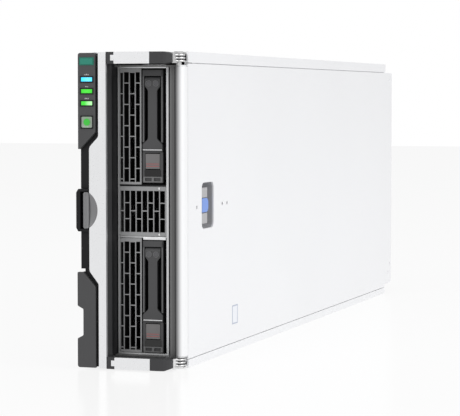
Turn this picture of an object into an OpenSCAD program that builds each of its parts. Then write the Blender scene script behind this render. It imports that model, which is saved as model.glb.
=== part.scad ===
// Double-height blade server: a tall, narrow computer module that slides on edge into a
// blade enclosure. It stands on its lower rail with the front towards -Y.
// Lengths are in millimetres. Modules are drawn from the lower left front corner and
// shifted once, by in_frame(), so that the origin is at the middle of the underside.

/* [Body] */
// Width across the side walls
body_w = 70; // [69:0.5:72]
// Height from the lower rail to the upper rail
body_h = 216; // [214:1:220]
// Depth from the front face to the rear edge of the side panels
body_d = 607; // [600:1:620]
// Thickness of the sheet metal
sheet = 1.2; // [1:0.1:1.3]
// Height of the upper and lower rails that the enclosure guides
rail_h = 7.6; // [7:0.2:8]

/* [Handle] */
// Depth of the closed handle bar
handle_depth = 12; // [10:0.5:13]
// Height of each handle arm
arm_h = 8; // [7:0.2:8]
// Radius of the two pivot pins
pivot_r = 2; // [1.5:0.1:2.4]
// Number of ridges on the release slider
slider_ridges = 3; // [2:1:3]

/* [Drives] */
// Height of a drive carrier's face
carrier_h = 77.2; // [76:0.2:77.4]
// Width of a drive carrier's face
carrier_w = 14.8; // [14:0.2:15]
// Length of a drive carrier
carrier_l = 114; // [108:1:115]

/* [Grilles] */
// Distance between two columns of the brick pattern
brick_w = 4.3; // [4.2:0.05:4.4]
// Distance between two openings in one column
brick_h = 14.6; // [12:0.2:15]
// Width of the bars between the openings
brick_bar = 0.7; // [0.6:0.1:1]

/* [Access panel] */
// How far the side panel slides back before it lifts off
panel_travel = 12; // [10:1:13]
// Number of keyhole tabs along each long edge
panel_tabs = 5; // [3:1:5]

/* [Boards] */
// Memory slots in each bank
slots_per_bank = 6; // [4:1:6]
// Fins on each heat sink
fin_count = 24; // [12:1:26]
// Mezzanine cards at the rear
mezzanine_count = 3; // [3:1:3]

/* [Hidden] */
$fn = 48;
eps = 0.01;

// Front plane: bezel, bar and cage
bezel_face = 3;
bezel_back = 24;
bar_left = 7.8;
bar_narrow_left = 14.5;
bar_right = 20;
bar_z0 = 0.8;
bar_z1 = body_h - 0.6;
bar_skin = 2.6;
bar_low_bend = [58.2, 66.8];
bar_high_bend = [151.1, 158.2];
bar_gap = 0.7;

// Latch between the bezel and the bar
latch_z = 108.2;
latch_h = 29;
slider_left = 3.6;
slider_right = 7.4;
slider_h = 24.6;
scoop_h = 24;
scoop_w = 6.1;

// Handle pivots
pivot = [65.2, 20.4];
tail_r = 4.4;
tail_h = 5.6;
arm_end = 64.8;
arm_taper = 3.4;
plate_x = [25.8, 51.4];
plate_t = 1.2;

// Cage for drives and grilles
cage_x = [20.2, 57.2];
cage_y = [22, 142];
cage_z = [8.6, 205.6];
cage_wall = 0.8;
lower_bay = [9.4, 88.8];
middle_bay = [89.6, 124.2];
upper_bay = [125, 204.8];
split_x = 37.6;
split_t = 0.8;

// Shelves above and below the cage
upper_shelf = [cage_z[1], cage_z[1] + sheet];
lower_shelf = [cage_z[0] - 1, cage_z[0]];

// Rounded column at the right front corner
column_x = 60.4;
column_y = 16;
column_r = 5.6;

// Side panel and the rails that carry it
panel_y0 = 25.4;
panel_z = [6, body_h - rail_h - 0.4];
rail_z = [panel_z[0] - 0.5, panel_z[1] + 0.5];
rail_y = [26, body_d - 25];
wall_y0 = 34;
ledge_x = body_w - 2 * sheet - 0.3;
ledge_h = 7.5;
tab_pitch = 118;
tab_y0 = 60;
tab_len = 5;

// Recess for the panel latch
cup_y = [54, 79.4];
cup_z = [93.4, 125.6];
cup_x = 60;
key_y = [55.6, 69];
key_z = [104.8, 114.6];

// Drive carriers
carrier_x = 38.7;
carrier_y = 20.4;
lower_carrier_z = 9.9;
upper_carrier_z = 126.6;
hinge_up = carrier_h - 7.4;
hinge_y = 2.6;
hinge_r = 2.6;
lever_foot = 21.3;

// System board and what stands on it
board_x = 6;
board_t = 1.6;
board_y = [150, 572];
board_z = [8, 208];
board_top = board_x + board_t;
socket_centres = [236, 378];
mid_z = 108;
dimm_len = 133.3;
dimm_h = 31;
dimm_pitch = 8.5;
bank_z = [21.5, 152.5];
mezz_z = [41, 108, 175];
mezz_x = 26;
mezz_y = [458, 566];

// Rear
rear_y = body_d - 29;
socket_r = 4.2;
socket_len = 22;
socket_x = 54;
socket_z = [78, 192];

// ---- helpers ----

// Moves bench coordinates into the part's own frame
module in_frame() {
  translate([-body_w / 2, -body_d / 2, 0])
    children();
}

// Box between two opposite corners
module box(a, b) {
  translate(a)
    cube(b - a);
}

// Extrudes a front-view (x, z) outline from y0 back to y1
module along_y(y0, y1) {
  translate([0, y1, 0])
    rotate([90, 0, 0])
      linear_extrude(y1 - y0)
        children();
}

// Extrudes a side-view (y, z) outline from x0 to x1
module along_x(x0, x1) {
  translate([x0, 0, 0])
    rotate([90, 0, 90])
      linear_extrude(x1 - x0)
        children();
}

// Extrudes a plan-view (x, y) outline from z0 up to z1
module along_z(z0, z1) {
  translate([0, 0, z0])
    linear_extrude(z1 - z0)
      children();
}

function unit(v) = v / norm(v);

// Points of a corner at p, between a and b, rounded to radius r
function corner(a, p, b, r, steps = 6) =
  let(
    u = unit(a - p),
    v = unit(b - p),
    half = acos(u * v) / 2,
    centre = p + unit(u + v) * r / sin(half),
    from = p + u * r / tan(half) - centre,
    to = p + v * r / tan(half) - centre
  )
  r == 0 ? [p] : [for (i = [0 : steps]) centre + r * unit(from * (1 - i / steps) + to * i / steps)];

// Outline with each corner rounded to its own radius
function rounded(points, radii) =
  let(n = len(points))
  [for (i = [0 : n - 1])
    each corner(points[(i + n - 1) % n], points[i], points[(i + 1) % n], radii[i])];

// Rectangle between two corners, rounded to radius r
module round_rect(a, b, r) {
  polygon(rounded([a, [b[0], a[1]], b, [a[0], b[1]]], [r, r, r, r]));
}

// Mirrors a shape of the upper half to the lower half as well
module both_ends() {
  children();
  translate([0, 0, body_h])
    mirror([0, 0, 1])
      children();
}

// ---- chassis ----

// Section across the pan: left wall, upper and lower walls, rails and joggled ledges
module pan_section(z0, z1) {
  square([sheet, body_h]);
  translate([0, body_h - sheet])
    square([body_w, sheet]);
  square([body_w, sheet]);
  translate([body_w - sheet, z1])
    square([sheet, body_h - z1]);
  translate([body_w - sheet, 0])
    square([sheet, z0]);
}

// Ledge behind the panel's long edge, with keyholes for its tabs
module panel_ledge(z, up) {
  difference() {
    union() {
      box([ledge_x, rail_y[0], min(z - up * sheet, z + up * ledge_h)],
        [ledge_x + sheet, rail_y[1], max(z - up * sheet, z + up * ledge_h)]);
      box([ledge_x, rail_y[0], min(z, z - up * sheet)],
        [body_w, rail_y[1], max(z, z - up * sheet)]);
    }
    for (i = [0 : panel_tabs - 1])
      translate([ledge_x - 1, tab_y0 + i * tab_pitch, z + up * 3.4]) {
        translate([0, -0.5, -1.6])
          cube([4, panel_travel + tab_len + 1, 3.2]);
        translate([0, panel_travel - 0.6, -2.9])
          cube([4, tab_len + 1.2, 5.8]);
      }
  }
}

module chassis_pan() {
  color([0.83, 0.84, 0.85])
    in_frame() {
      difference() {
        along_y(rail_y[0], rail_y[1])
          pan_section(rail_z[0], rail_z[1]);
        box([sheet + eps, rail_y[0] - 1, body_h - sheet - 1], [body_w - sheet, wall_y0, body_h + 1]);
        box([sheet + eps, rail_y[0] - 1, -1], [body_w - sheet, wall_y0, sheet + 1]);
      }
      box([0, rail_y[1] - 1, 8.4], [sheet, body_d, panel_z[1]]);
      panel_ledge(rail_z[1], -1);
      panel_ledge(rail_z[0], 1);
    }
}

// Plan outline of the rounded corner column, drawn as bent sheet
module column_outline() {
  difference() {
    union() {
      translate([column_x, column_y])
        square([body_w - column_r - column_x, bezel_back - column_y]);
      intersection() {
        translate([body_w - column_r, column_y + column_r])
          circle(column_r);
        translate([body_w - column_r, column_y - 1])
          square([column_r + 1, column_r + 1]);
      }
      translate([body_w - column_r, column_y + column_r])
        square([column_r, panel_y0 - 0.4 - column_y - column_r]);
    }
    translate([column_x + sheet, column_y + sheet])
      square([body_w - column_r - column_x - sheet, 20]);
    translate([body_w - column_r, column_y + column_r])
      circle(column_r - sheet);
    translate([body_w - column_r - eps, column_y + column_r])
      square([column_r - sheet + eps, 1.6]);
    translate([body_w - column_r - eps, column_y + column_r])
      square([ledge_x - body_w + column_r, 20]);
    translate([body_w - column_r - 0.7, column_y - 1])
      square([0.7, 1.7]);
  }
}

// Shelf above or below the cage: it closes the frame and carries a handle pin
module frame_shelf(z) {
  along_z(z[0], z[1])
    difference() {
      polygon(rounded(
        [[20.2, column_y], [body_w - 1, column_y], [body_w - 1, 25.2], [ledge_x - 0.2, 25.2],
          [ledge_x - 0.2, wall_y0 + 6], [20.2, wall_y0 + 6]],
        [0, column_r, 0, 0, 3, 0]));
      translate([cage_x[0] + 4, column_y - 1])
        square([30, 3]);
    }
}

module front_frame() {
  color([0.62, 0.63, 0.64])
    in_frame() {
      along_z(lower_shelf[1] - eps, upper_shelf[0] + eps)
        column_outline();
      // Flange behind the side panel's front edge
      box([ledge_x, bezel_back - 1, 16], [ledge_x + sheet, bezel_back + 12, 198]);
      box([ledge_x, bezel_back - 1, 16], [body_w - sheet + eps, panel_y0 - 0.4, 198]);
      frame_shelf(upper_shelf);
      frame_shelf(lower_shelf);
    }
}

// Cut-outs of the rear panel: connectors, guide sockets and vents
module rear_panel() {
  color([0.75, 0.76, 0.77])
    in_frame()
      along_y(rear_y, rear_y + sheet)
        difference() {
          translate([sheet, sheet])
            square([ledge_x - sheet - 0.3, body_h - 2 * sheet]);
          for (z = mezz_z)
            round_rect([15.4, z - 23], [44.6, z + 23], 1);
          round_rect([45.8, 19], [62.2, 61], 1);
          for (z = socket_z)
            translate([socket_x, z])
              circle(7.2);
          for (row = [0 : 6], col = [0 : 2])
            translate([48.5 + col * 5.2 + (row % 2) * 2.6, 110 + row * 9])
              circle(2, $fn = 16);
        }
}

// ---- cage and grilles ----

module drive_cage() {
  color([0.68, 0.69, 0.7])
    in_frame()
      difference() {
        box([cage_x[0], cage_y[0], cage_z[0]], [cage_x[1], cage_y[1], cage_z[1]]);
        for (bay = [lower_bay, middle_bay, upper_bay])
          box([cage_x[0] + sheet, cage_y[0] - 1, bay[0]],
            [bay == middle_bay ? cage_x[1] - 1.6 : split_x, cage_y[1] + 1, bay[1]]);
        for (bay = [lower_bay, upper_bay])
          box([split_x + split_t, cage_y[0] - 1, bay[0]], [cage_x[1] - 1.6, cage_y[1] + 1, bay[1]]);
        // The partition between grille and drive starts behind their faces
        for (bay = [lower_bay, upper_bay])
          box([split_x - eps, cage_y[0] - 1, bay[0]], [split_x + split_t + eps, cage_y[0] + 12, bay[1]]);
        // Air slots in the side walls
        for (i = [0 : 3], z = [26, 60, 98, 143, 177])
          box([cage_x[0] - 1, 44 + i * 24, z], [cage_x[1] + 1, 60 + i * 24, z + 14]);
      }
}

// Upright openings in a brick pattern, between the limits x and z. The first column ends at line.
// bars holds, for every second column, the height of one cross bar and the distance to the next.
module brick_openings(x, z, line, cols, bars) {
  for (c = [0 : cols - 1])
    let(
      left = max(x[0], line + (c - 1) * brick_w + brick_bar / 2),
      right = min(x[1], line + c * brick_w - brick_bar / 2),
      bar = bars[c % 2]
    )
      for (k = [-6 : 3])
        let(
          low = max(z[0], bar[0] + (k - 1) * bar[1] + brick_bar / 2),
          high = min(z[1], bar[0] + k * bar[1] - brick_bar / 2)
        )
          if (high - low > 1)
            translate([left, low])
              square([right - left, high - low]);
}

// Blank that fills the bay beside a drive: brick grille on a shallow tray
module bay_blank(z0, z1) {
  color([0.2, 0.2, 0.21])
    in_frame() {
      x0 = cage_x[0] + sheet + 0.2;
      x1 = split_x - 0.2;
      along_y(cage_y[0] + 0.2, cage_y[0] + 1.8)
        difference() {
          translate([x0, z0])
            square([x1 - x0, z1 - z0]);
          brick_openings([x0 + 0.3, x1 - 1.1], [z0 + 1.7, z1 - 2.4], 24.3, 4,
            [[z1 - 17.1, brick_h], [z1 - 17.1 + brick_h / 2, brick_h]]);
        }
      along_y(cage_y[0] + 1.8, cage_y[0] + 16)
        difference() {
          translate([x0, z0])
            square([x1 - x0, z1 - z0]);
          translate([x0 + 0.8, z0 + 0.8])
            square([x1 - x0 - 1.6, z1 - z0 - 1.6]);
        }
    }
}

module upper_grille() {
  bay_blank(upper_bay[0] + 0.3, upper_bay[1] - 0.3);
}

module lower_grille() {
  bay_blank(lower_bay[0] + 0.3, lower_bay[1] - 0.4);
}

module middle_grille() {
  color([0.2, 0.2, 0.21])
    in_frame()
      along_y(cage_y[0] + 0.2, cage_y[0] + 1.8)
        difference() {
          translate([cage_x[0] + sheet + 0.2, middle_bay[0] + 0.2])
            square([cage_x[1] - cage_x[0] - sheet - 2, middle_bay[1] - middle_bay[0] - 0.4]);
          brick_openings([cage_x[0] + sheet + 0.5, cage_x[1] - 2.6], [92.6, 121], 24.7, 8,
            [[107.2, 40], [101.7, 11]]);
        }
}

// ---- bezel ----

// Front outline of the handle bar: narrow at the ends and wide at the grip
function bar_outline(grow = 0) =
  let(
    left = bar_left - grow,
    narrow = bar_narrow_left - grow,
    right = bar_right + grow,
    z0 = bar_z0 - grow,
    z1 = bar_z1 + grow
  )
  rounded(
    [[narrow, z0], [right, z0], [right, z1], [narrow, z1],
      [narrow, bar_high_bend[1] + grow / 2], [left, bar_high_bend[0] + grow / 2],
      [left, bar_low_bend[1] - grow / 2], [narrow, bar_low_bend[0] - grow / 2]],
    [0.5, 0.5, 0.5, 0.5, 3, 5, 5, 3]);

// Latch housing in front view, with its outer corners cut
module latch_outline(grow = 0) {
  top = latch_z + latch_h / 2 + grow;
  bottom = latch_z - latch_h / 2 - grow;
  polygon([[-1.9 - grow, bottom + 2.4], [-0.4, bottom], [slider_right + grow - 0.2, bottom],
    [slider_right + grow - 0.2, top], [-0.4, top], [-1.9 - grow, top - 2.4]]);
}

module bezel_column() {
  color([0.07, 0.07, 0.08])
    in_frame()
      difference() {
        box([0.6, bezel_face, 1.4], [bar_right - 0.4, bezel_back, body_h - 1.4]);
        // Space for the closed bar
        along_y(-1, handle_depth + 1)
          polygon(bar_outline(bar_gap));
        // The rear is hollow
        box([2, handle_depth + 2.6, 5], [bar_right - 2, bezel_back + 1, body_h - 5]);
        // Finger notch beside the pull tab, and the gap above it
        box([-1, -1, 19], [3.6, bezel_back + 1, 45]);
        box([-1, -1, 65.8], [3.6, handle_depth + 1, 68.2]);
        // Seat of the latch housing
        along_y(-1, handle_depth + 1)
          latch_outline(0.2);
        // Slot for the pull tab's blade
        box([4.6, -1, 13], [6.6, bezel_back + 1, 53]);
        // Well behind the power button
        box([1.8, -1, 163.6], [10.8, bezel_face + 3, 172.4]);
      }
}

// Outline of the status panel: its lower edge slopes beside the bar
function status_outline() = rounded(
  [[-0.2, 149.8], [1, 149.8], [12.4, 161.4], [12.4, 215], [-0.2, 215]],
  [0.4, 1, 2, 1.2, 1.6]);

module window(x, z) {
  translate([x[0], z[0]])
    square([x[1] - x[0], z[1] - z[0]]);
}

badge_x = [0.9, 11.5];
badge_z = [206.6, 212];
lens_x = [1.9, 10.7];
identify_z = [195.3, 198.8];
health_z = [187.4, 190.8];
network_z = [179.2, 182.6];
button_x = [2.5, 10.1];
button_z = [164.4, 171.8];
button_gap = 0.7;

module status_panel() {
  color([0.3, 0.3, 0.31])
    in_frame()
      difference() {
        along_y(0, bezel_face)
          polygon(status_outline());
        along_y(-1, 1)
          window(badge_x, badge_z);
        for (z = [identify_z, health_z, network_z])
          along_y(-1, bezel_face + 1)
            window(lens_x, z);
        along_y(-1, bezel_face + 1)
          window(button_x + [-button_gap, button_gap], button_z + [-button_gap, button_gap]);
      }
}

module blank_badge() {
  color([0.05, 0.5, 0.4])
    in_frame()
      along_y(-0.3, 1)
        window(badge_x, badge_z);
}

module lens(z, tint) {
  color(tint)
    in_frame()
      along_y(-0.2, bezel_face)
        window(lens_x, z);
}

module identify_lens() {
  lens(identify_z, [0.1, 0.8, 0.95]);
}

module health_lens() {
  lens(health_z, [0.1, 0.85, 0.15]);
}

module network_lens() {
  lens(network_z, [0.1, 0.85, 0.2]);
}

// Small circuit board behind the lenses, inside the hollow of the bezel
module lamp_board() {
  color([0.05, 0.3, 0.15])
    in_frame() {
      box([3, handle_depth + 2.6, 176], [17, handle_depth + 4.2, 202]);
      for (z = [identify_z, health_z, network_z])
        translate([8, handle_depth + 4.2, z[0]])
          cube([3, 1.2, 3]);
    }
}

module power_button() {
  color([0.45, 0.6, 0.45])
    in_frame()
      difference() {
        along_y(-0.3, bezel_face + 1)
          round_rect([button_x[0], button_z[0]], [button_x[1], button_z[1]], 0.8);
        translate([6.3, -14.7, 168.1])
          sphere(15, $fn = 64);
      }
}

// Housing of the release slider, open towards the bar
module latch_housing() {
  color([0.04, 0.04, 0.045])
    in_frame()
      difference() {
        along_y(0.3, handle_depth)
          latch_outline();
        box([1, -1, latch_z - slider_h / 2 - 0.5], [20, 4.8, latch_z + slider_h / 2 + 0.5]);
        box([5.6, 3, latch_z - 5], [20, 9, latch_z + 5]);
      }
}

// Ridged slider that frees the bar when it is pushed to the left
module release_slider() {
  ridge_w = (slider_right - slider_left - 0.6) / slider_ridges;
  color([0.42, 0.42, 0.43])
    in_frame()
      difference() {
        along_y(-0.6, 4.5)
          round_rect([slider_left, latch_z - slider_h / 2], [slider_right, latch_z + slider_h / 2], 1.2);
        for (i = [0 : slider_ridges])
          translate([slider_left + 0.3 + i * ridge_w, -0.9, latch_z])
            cylinder(r = 0.6, h = slider_h + 2, center = true);
      }
}

// Label tab: a plate with a finger notch, on a long blade that slides in the bezel
module pull_tab() {
  color([0.3, 0.3, 0.31])
    in_frame() {
      along_y(0, bezel_face - 0.2)
        polygon(rounded(
          [[-1, 0.8], [12.2, 0.8], [12.2, 56.2], [3.3, 66], [-1, 66], [-1, 43], [3.2, 40.8],
            [3.2, 22.8], [-1, 20.6]],
          [1.6, 0.4, 2, 0.6, 0.6, 1, 1.2, 1.2, 1]));
      box([5, bezel_face - 0.2 - eps, 13.6], [6.2, 66, 52.4]);
    }
}

// ---- handle ----

// Half-moon outline of the thumb scoop at the bar's left edge
module scoop_outline(grow = 0) {
  r = (pow(scoop_h / 2, 2) + pow(scoop_w, 2)) / (2 * scoop_w);
  intersection() {
    translate([bar_left + scoop_w - r, latch_z])
      circle(r + grow, $fn = 96);
    translate([bar_left, latch_z - scoop_h])
      square([scoop_w + 1, 2 * scoop_h]);
  }
}

module handle_bar() {
  color([0.86, 0.86, 0.87])
    in_frame()
      difference() {
        along_y(0, bar_skin)
          polygon(bar_outline());
        along_y(-1, bar_skin + 1)
          scoop_outline();
      }
}

module handle_core() {
  color([0.33, 0.33, 0.34])
    in_frame()
      difference() {
        along_y(bar_skin, handle_depth)
          polygon(bar_outline(-0.3));
        box([bar_left + 2, bar_skin + 2, bar_low_bend[1] + 6], [bar_right - 2, 20, latch_z - 20]);
        box([bar_left + 2, bar_skin + 2, latch_z + 20], [bar_right - 2, 20, bar_high_bend[0] - 6]);
        for (z = [[14, bar_low_bend[0] - 4], [bar_high_bend[1] + 4, body_h - 14]])
          box([bar_narrow_left + 1.4, bar_skin + 2, z[0]], [bar_right - 1.6, 20, z[1]]);
      }
}

// Dished grey insert where the thumb rests
module thumb_scoop() {
  color([0.5, 0.5, 0.51])
    in_frame()
      difference() {
        along_y(0.1, bar_skin)
          scoop_outline();
        translate([bar_left + 2, -38.3, latch_z])
          sphere(40, $fn = 240);
      }
}

// Plan outline of an arm, from the bar round to the pivot
module arm_outline() {
  difference() {
    union() {
      polygon(rounded(
        [[bar_right, 0.3], [arm_end, 0.3], [arm_end, pivot[1]], [pivot[0] - tail_r, pivot[1]],
          [54, handle_depth - 1], [bar_right - 0.3, handle_depth - 1],
          [bar_right - 0.3, bar_skin], [bar_right, bar_skin]],
        [0, 7, 0, 0, 3, 0, 0, 0]));
      translate(pivot)
        circle(tail_r - 0.2);
    }
    translate(pivot)
      circle(pivot_r + 0.08);
  }
}

module upper_arm() {
  color([0.28, 0.28, 0.29])
    in_frame()
      difference() {
        along_z(body_h - 0.4 - arm_h, body_h - 0.4)
          arm_outline();
        // Seat of the bright plate and its tongue
        box([plate_x[0], -1, body_h - arm_h - 1], [plate_x[1], plate_t, body_h]);
        box([plate_x[0] - 2.4, -1, body_h - 0.4 - arm_h * 0.74], [plate_x[1], plate_t, body_h - 0.4 - arm_h * 0.26]);
        // The tail is thinner than the arm
        box([arm_end - 8, 12, body_h - 0.4 - (arm_h - tail_h) / 2], [body_w + 1, 30, body_h + 1]);
        box([arm_end - 8, 12, body_h - 1 - arm_h], [body_w + 1, 30, body_h - 0.4 - (arm_h + tail_h) / 2]);
        // The arm tapers to the height of its tail
        along_y(-1, 13)
          for (side = [0, 1])
            mirror([0, side])
              translate([arm_end - arm_taper, (side == 0 ? body_h - 0.4 : arm_h + 0.4 - body_h)])
                polygon([[0, 0], [arm_taper * 2, arm_taper], [arm_taper * 2, tail_h - arm_h]]);
      }
}

module lower_arm() {
  translate([0, 0, body_h])
    mirror([0, 0, 1])
      upper_arm();
}

module arm_plates() {
  color([0.88, 0.88, 0.89])
    in_frame()
      both_ends() {
        along_y(0, plate_t)
          polygon(rounded(
            [[plate_x[0], body_h - 0.4 - arm_h], [plate_x[1], body_h - 0.4 - arm_h],
              [plate_x[1], body_h - 0.4], [plate_x[0], body_h - 0.4]],
            [0.5, 0, 0, 0.5]));
        box([plate_x[0] - 2.4, 0, body_h - 0.4 - arm_h * 0.74],
          [plate_x[0] + 1, plate_t, body_h - 0.4 - arm_h * 0.26]);
      }
}

// Steel strap round the arm's end, with the nose that levers on the enclosure
module cam_outline() {
  difference() {
    union() {
      translate([arm_end, 8])
        square([1.5, 13]);
      translate(pivot)
        circle(tail_r);
      translate(pivot)
        rotate(-15)
          translate([0, -1.2])
            square([5.5, 2.4]);
    }
    translate(pivot)
      circle(pivot_r + 0.08);
    translate([arm_end - 12, 4])
      square([12, 14]);
  }
}

module handle_cams() {
  cam_z = body_h - 0.4 - (arm_h - tail_h) / 2;
  color([0.8, 0.8, 0.8])
    in_frame()
      both_ends() {
        along_z(cam_z, cam_z + 1)
          cam_outline();
        box([arm_end, 8, body_h - arm_h], [arm_end + 1.5, 15.4, cam_z + eps]);
      }
}

// Riveted pivot pin, from a shelf's face out to the body's upper or lower limit
module pivot_pin(from, to) {
  head = 0.5;
  up = to > from ? 1 : -1;
  translate([pivot[0], pivot[1], min(from, to)])
    cylinder(r = pivot_r, h = abs(to - from));
  translate([pivot[0], pivot[1], min(to, to - up * head)])
    cylinder(r = pivot_r + 1.2, h = head);
}

module handle_pins() {
  color([0.55, 0.55, 0.56])
    in_frame() {
      pivot_pin(upper_shelf[1], body_h);
      pivot_pin(lower_shelf[0], 0);
    }
}

// ---- access panel ----

// Neck and head of one tab that hooks behind the ledge
module panel_tab(z) {
  translate([0, 0, z]) {
    box([ledge_x - 1.6, 0, -2.4], [ledge_x - 0.3, tab_len, 2.4]);
    box([ledge_x - 0.4, 0, -1.2], [body_w - sheet + eps, tab_len, 1.2]);
  }
}

module access_panel() {
  color([0.93, 0.93, 0.94])
    in_frame() {
      difference() {
        along_x(body_w - sheet, body_w)
          difference() {
            union() {
              translate([panel_y0, panel_z[0]])
                square([rail_y[1] - panel_y0, panel_z[1] - panel_z[0]]);
              polygon(rounded(
                [[rail_y[1] - 1, 8.4], [body_d, 8.4], [body_d, panel_z[1]], [rail_y[1] - 1, panel_z[1]]],
                [0, 3, 3, 0]));
            }
            round_rect([cup_y[0], cup_z[0]], [cup_y[1], cup_z[1]], 4);
          }
        for (y = [43.7, 98.7, 109.6])
          translate([body_w - sheet - 1, y, 109.1])
            rotate([0, 90, 0])
              cylinder(r = 1.3, h = 4);
        for (p = [[596.8, 201.4], [601, 27], [594.8, 18.9]])
          translate([body_w - 0.5, p[0], p[1]])
            rotate([0, 90, 0])
              cylinder(r = 1.4, h = 2);
      }
      for (i = [0 : panel_tabs - 1])
        translate([0, tab_y0 + i * tab_pitch, 0]) {
          panel_tab(rail_z[1] - 3.4);
          panel_tab(rail_z[0] + 3.4);
        }
    }
}

// Tray behind the opening: the finger reaches in behind the latch key
module panel_latch_cup() {
  color([0.8, 0.8, 0.81])
    in_frame() {
      difference() {
        along_x(cup_x, body_w - sheet)
          round_rect([cup_y[0] - 1.2, cup_z[0] - 1.2], [cup_y[1] + 1.2, cup_z[1] + 1.2], 5);
        along_x(cup_x + 1, body_w + 1)
          round_rect([cup_y[0], cup_z[0]], [cup_y[1], cup_z[1]], 4);
      }
      // Raised land that guides the key
      difference() {
        along_x(cup_x + 1 - eps, body_w - 0.3)
          round_rect([cup_y[0] + 0.3, cup_z[0] + 3.6], [66.4, cup_z[1] - 3.6], 1);
        box([cup_x + 1, key_y[0] - 0.6, key_z[0] - 0.6], [body_w + 1, 67, key_z[1] + 0.6]);
      }
    }
}

module panel_latch_key() {
  color([0.45, 0.58, 0.85])
    in_frame()
      along_x(64, body_w - 0.3)
        polygon(rounded(
          [[key_y[0], key_z[0]], [key_y[1], key_z[0]], [key_y[1], key_z[1]], [key_y[0], key_z[1]]],
          [0.6, 4, 4, 0.6]));
}

// ---- drives: each is drawn with its carrier's lower left front corner at the origin ----

module at_bay(z) {
  in_frame()
    translate([carrier_x, carrier_y, z])
      children();
}

// Front outline of the lever: boss, slim neck and a foot that widens to the full face
module lever_outline() {
  mid = carrier_w / 2;
  top = hinge_up - 0.3;
  polygon(rounded(
    [[0.2, lever_foot], [carrier_w - 0.2, lever_foot], [carrier_w - 0.2, lever_foot + 5],
      [mid + 3.2, lever_foot + 8.6], [mid + 3.2, top - 6.4], [carrier_w - 1.9, top - 3.4],
      [carrier_w - 1.9, top + 0.6], [1.9, top + 0.6], [1.9, top - 3.4], [mid - 3.2, top - 6.4],
      [mid - 3.2, lever_foot + 8.6], [0.2, lever_foot + 5]],
    [0.4, 0.4, 1, 3, 3, 1, 0, 0, 1, 3, 3, 1]));
}

module drive_lever(z) {
  color([0.27, 0.27, 0.28])
    at_bay(z) {
      difference() {
        union() {
          along_y(0, hinge_y)
            lever_outline();
          translate([1.9, hinge_y, hinge_up])
            rotate([0, 90, 0])
              cylinder(r = hinge_r, h = carrier_w - 3.8);
          // Two round marks on the boss
          for (x = [-2.6, 2.6])
            translate([carrier_w / 2 + x, 0.1, hinge_up - 2])
              rotate([90, 0, 0])
                cylinder(r = 2.1, h = 0.4);
        }
        translate([0, hinge_y, hinge_up])
          rotate([0, 90, 0])
            cylinder(r = 1.08, h = carrier_w);
        // Step above the foot, where the light line runs
        box([-1, -1, lever_foot + 0.9], [carrier_w + 1, 0.4, lever_foot + 1.5]);
      }
    }
}

// Face frame, two runners and the lever's hinge pin
module drive_carrier(z) {
  side = 1.3;
  color([0.3, 0.3, 0.31])
    at_bay(z) {
      difference() {
        along_y(0.6, 5.6)
          round_rect([0, 0], [carrier_w, carrier_h], 0.6);
        // Opening behind the lever
        box([side, -1, lever_foot + 0.6], [carrier_w - side, 7, hinge_up + 3.1]);
        // Step for the lever's wide foot
        box([-1, -1, lever_foot - 0.3], [carrier_w + 1, 2.9, lever_foot + 6.3]);
        // Pocket of the lever button, window and lamp slots below it
        box([2, -1, 9], [carrier_w - 2, 4.6, 20.4]);
        box([1.4, -1, 4.2], [carrier_w - 1.4, 1.8, 8.4]);
        for (x = [1.8, 8.2])
          box([x, -1, 1.1], [x + 4.8, 1.4, 3.4]);
      }
      // Face block above the lever
      box([0.6, 0, hinge_up + 3.1], [carrier_w - 0.6, 0.7, carrier_h - 0.4]);
      // Hinge pin across the frame
      translate([0.4, hinge_y, hinge_up])
        rotate([0, 90, 0])
          cylinder(r = 1, h = carrier_w - 0.8);
      // Runners above and below the drive
      difference() {
        union() {
          box([0.3, 5.5, 0.2], [carrier_w - 0.3, carrier_l, 3.6]);
          box([0.3, 5.5, carrier_h - 3.6], [carrier_w - 0.3, carrier_l, carrier_h - 0.2]);
        }
        for (i = [0 : 4])
          translate([3.4, 14 + i * 20, -1])
            cube([carrier_w - 6.8, 12, carrier_h + 2]);
      }
    }
}

// Closed drive with a stepped cover and a notch for its connector
module drive_case(z) {
  color([0.6, 0.61, 0.62])
    at_bay(z)
      difference() {
        union() {
          box([1.2, 14, 3.6], [carrier_w - 1.2, carrier_l, carrier_h - 3.6]);
          box([carrier_w - 1.3, 20, 8], [carrier_w - 0.7, carrier_l - 8, carrier_h - 8]);
        }
        box([4, carrier_l - 6, 18], [9, carrier_l + 1, 52]);
        for (y = [28, 100], zz = [3.5, carrier_h - 5.5])
          translate([carrier_w / 2, y, zz])
            cylinder(r = 1.2, h = 2);
      }
}

module lever_button(z) {
  color([0.42, 0.42, 0.43])
    at_bay(z)
      difference() {
        along_y(0.4, 3.2)
          round_rect([2.3, 9.6], [carrier_w - 2.3, 19.8], 0.5);
        for (zz = [11, 12.6])
          box([1, 0, zz], [carrier_w, 0.7, zz + 0.6]);
      }
}

module upper_carrier() {
  drive_carrier(upper_carrier_z);
}

module upper_drive() {
  drive_case(upper_carrier_z);
}

module upper_lever() {
  drive_lever(upper_carrier_z);
}

module upper_lever_button() {
  lever_button(upper_carrier_z);
}

module lower_carrier() {
  drive_carrier(lower_carrier_z);
}

module lower_drive() {
  drive_case(lower_carrier_z);
}

module lower_lever() {
  drive_lever(lower_carrier_z);
}

module lower_lever_button() {
  lever_button(lower_carrier_z);
}

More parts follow.
